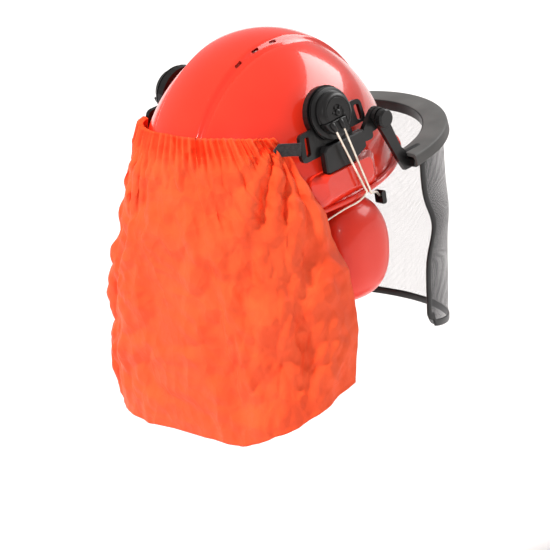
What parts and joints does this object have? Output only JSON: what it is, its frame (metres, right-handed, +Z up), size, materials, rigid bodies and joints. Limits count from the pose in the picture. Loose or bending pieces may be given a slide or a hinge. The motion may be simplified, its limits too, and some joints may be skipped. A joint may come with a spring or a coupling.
{
  "type": "forestry safety helmet",
  "caption": "Hard hat with a mesh face visor that lifts, ear muffs on sprung wire arms, a head harness with a ratchet, and a cloth neck cape.",
  "frame": {"origin": "centre of the shell's rim plane, where the head sits in the harness", "axes": "+Z up out of the crown, -Y the front of the helmet, +X the wearer's left"},
  "size_m": [0.3032, 0.3615, 0.3699],
  "materials": {
    "shell_red": "glossy moulded orange-red",
    "black_plastic": "satin black moulding",
    "guard_grey": "matt grey moulding",
    "screen_grey": "fine woven mesh, dark grey",
    "trim_grey": "dark edge trim",
    "cape_orange": "coated woven polyester, orange",
    "webbing_black": "black woven webbing",
    "steel_wire": "bright spring wire",
    "foam_black": "black foam",
    "cushion_black": "soft black vinyl",
    "band_grey": "dark grey flexible band"
  },
  "bodies": {
    "root": {"shell": "shell_red", "headband": "band_grey", "sweatband": "foam_black", "nape_housing": "black_plastic", "nape_cover": "black_plastic", "nape_pad": "foam_black", "chin_buckle_socket": "black_plastic", "chin_buckle_plug": "black_plastic", "crown_strap_a": "webbing_black", "crown_strap_b": "webbing_black", "neck_cape": "cape_orange", "adapter_right": "black_plastic", "adapter_left": "black_plastic", "visor_carrier_right": "black_plastic", "visor_carrier_left": "black_plastic", "harness_clip_front_right": "black_plastic", "harness_clip_front_left": "black_plastic", "harness_clip_rear_right": "black_plastic", "harness_clip_rear_left": "black_plastic", "chin_strap_right": "webbing_black", "chin_strap_left": "webbing_black", "cape_strap_right": "webbing_black", "cape_strap_left": "webbing_black"},
    "visor": {"brow_guard": "guard_grey", "mesh_screen": "screen_grey", "visor_trim": "trim_grey", "guard_bracket_right": "black_plastic", "guard_bracket_left": "black_plastic", "visor_knob_right": "black_plastic", "visor_knob_left": "black_plastic"},
    "ratchet": {"ratchet_knob": "black_plastic", "ratchet_pinion": "black_plastic"},
    "nape_band_right": {"nape_band_right": "band_grey"},
    "swivel_right": {"swivel_disc_right": "black_plastic", "swivel_cap_right": "black_plastic", "pivot_screw_right": "steel_wire"},
    "muff_arm_right": {"wire_carrier_right": "black_plastic"},
    "wires_right": {"muff_wire_front_right": "steel_wire", "muff_wire_rear_right": "steel_wire"},
    "cup_right": {"cup_shell_right": "shell_red", "cup_foam_right": "foam_black", "cup_baffle_right": "black_plastic", "cup_cushion_right": "cushion_black", "cup_socket_front_right": "black_plastic", "cup_socket_rear_right": "black_plastic"},
    "nape_band_left": {"nape_band_left": "band_grey"},
    "swivel_left": {"swivel_disc_left": "black_plastic", "swivel_cap_left": "black_plastic", "pivot_screw_left": "steel_wire"},
    "muff_arm_left": {"wire_carrier_left": "black_plastic"},
    "wires_left": {"muff_wire_front_left": "steel_wire", "muff_wire_rear_left": "steel_wire"},
    "cup_left": {"cup_shell_left": "shell_red", "cup_foam_left": "foam_black", "cup_baffle_left": "black_plastic", "cup_cushion_left": "cushion_black", "cup_socket_front_left": "black_plastic", "cup_socket_rear_left": "black_plastic"}
  },
  "joints": [
    {"name": "visor_flip", "type": "hinge", "parent": "root", "child": "visor", "pos_m": [0, -0.0465, 0.0635], "axis": [-1, 0, 0], "range_deg": [0, 95]},
    {"name": "ratchet_turn", "type": "hinge", "parent": "root", "child": "ratchet", "pos_m": [0, 0.11, -0.022], "axis": [0, 1, 0], "range_deg": [-2, 48]},
    {"name": "nape_band_slide_right", "type": "slide", "parent": "root", "child": "nape_band_right", "axis": [1, 0, 0], "range_m": [-0.0005, 0.007]},
    {"name": "nape_band_slide_left", "type": "slide", "parent": "root", "child": "nape_band_left", "axis": [-1, 0, 0], "range_m": [-0.0005, 0.007]},
    {"name": "muff_swivel_right", "type": "hinge", "parent": "root", "child": "swivel_right", "pos_m": [-0.11, 0.006, 0.088], "axis": [-1, 0, 0], "range_deg": [-2, 4]},
    {"name": "muff_tilt_right", "type": "hinge", "parent": "swivel_right", "child": "muff_arm_right", "pos_m": [-0.121, 0.013, 0.082], "axis": [0, 1, 0], "range_deg": [0, 25]},
    {"name": "muff_slide_right", "type": "slide", "parent": "muff_arm_right", "child": "wires_right", "axis": [0, 0.3063, 0.9519], "range_m": [-0.01, 0]},
    {"name": "cup_pivot_right", "type": "hinge", "parent": "wires_right", "child": "cup_right", "pos_m": [-0.096, -0.006, -0.022], "axis": [0, 1, 0], "range_deg": [-5, 5]},
    {"name": "muff_swivel_left", "type": "hinge", "parent": "root", "child": "swivel_left", "pos_m": [0.11, 0.006, 0.088], "axis": [-1, 0, 0], "range_deg": [-2, 4]},
    {"name": "muff_tilt_left", "type": "hinge", "parent": "swivel_left", "child": "muff_arm_left", "pos_m": [0.121, 0.013, 0.082], "axis": [0, -1, 0], "range_deg": [0, 25]},
    {"name": "muff_slide_left", "type": "slide", "parent": "muff_arm_left", "child": "wires_left", "axis": [0, 0.3063, 0.9519], "range_m": [-0.01, 0]},
    {"name": "cup_pivot_left", "type": "hinge", "parent": "wires_left", "child": "cup_left", "pos_m": [0.096, -0.006, -0.022], "axis": [0, -1, 0], "range_deg": [-5, 5]}
  ],
  "couplings": [
    {"joint": "nape_band_slide_right", "follows": "ratchet_turn", "m_per_rad": 0.008},
    {"joint": "nape_band_slide_left", "follows": "ratchet_turn", "m_per_rad": 0.008}
  ]
}
